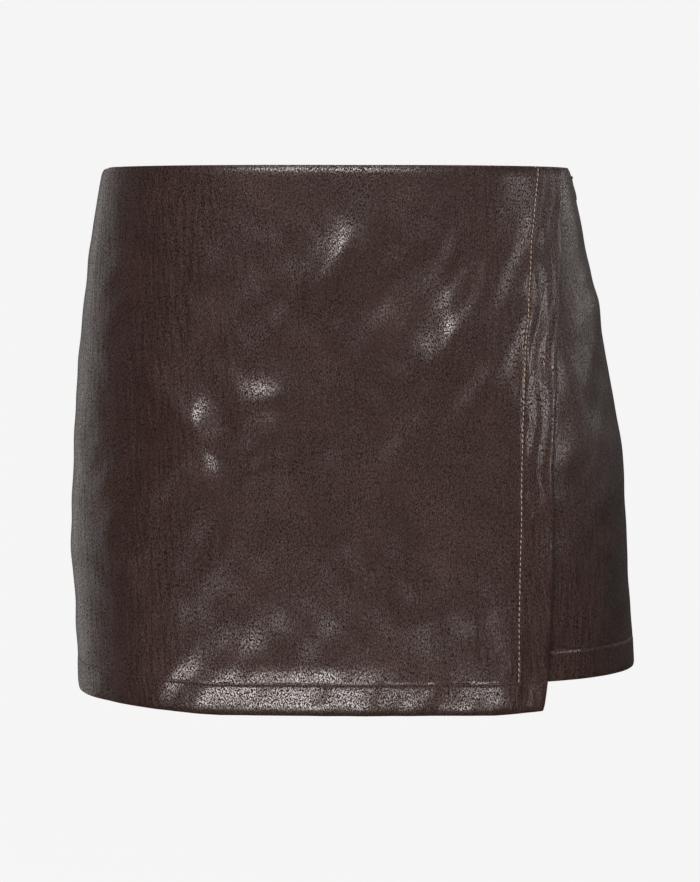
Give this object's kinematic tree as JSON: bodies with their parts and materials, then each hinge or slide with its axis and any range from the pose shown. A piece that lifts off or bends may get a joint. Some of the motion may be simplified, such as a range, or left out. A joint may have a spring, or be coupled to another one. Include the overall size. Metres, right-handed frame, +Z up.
{
  "type": "wrap skort",
  "caption": "Short faux leather wrap skort filled out as worn: leg panels under a wrap panel with a free front edge, and a concealed side zip with a hinged pull.",
  "frame": {"origin": "middle of the waist's top edge, where the wearer holds the garment up", "axes": "+Z up, -Y to the garment's front, +X to the wearer's left"},
  "size_m": [0.3604, 0.2577, 0.3403],
  "materials": {
    "faux_leather": "satin, pebbled grain, dark brown",
    "zip_tape": "woven, dark brown",
    "zip_enamel": "enamelled, dark brown"
  },
  "bodies": {
    "garment": {"wrap_front": "faux_leather", "shorts_front_left": "faux_leather", "shorts_front_right": "faux_leather", "shorts_back_left": "faux_leather", "shorts_back_right": "faux_leather", "zip_tape": "zip_tape", "zip_slider": "zip_enamel"},
    "pull": {"zip_pull": "zip_enamel"}
  },
  "joints": [
    {"name": "pull_swing", "type": "hinge", "parent": "garment", "child": "pull", "pos_m": [0.15207, 0.01508, -0.00587], "axis": [0.1149, -0.9934, -0.0032], "range_deg": [0, 160]}
  ]
}
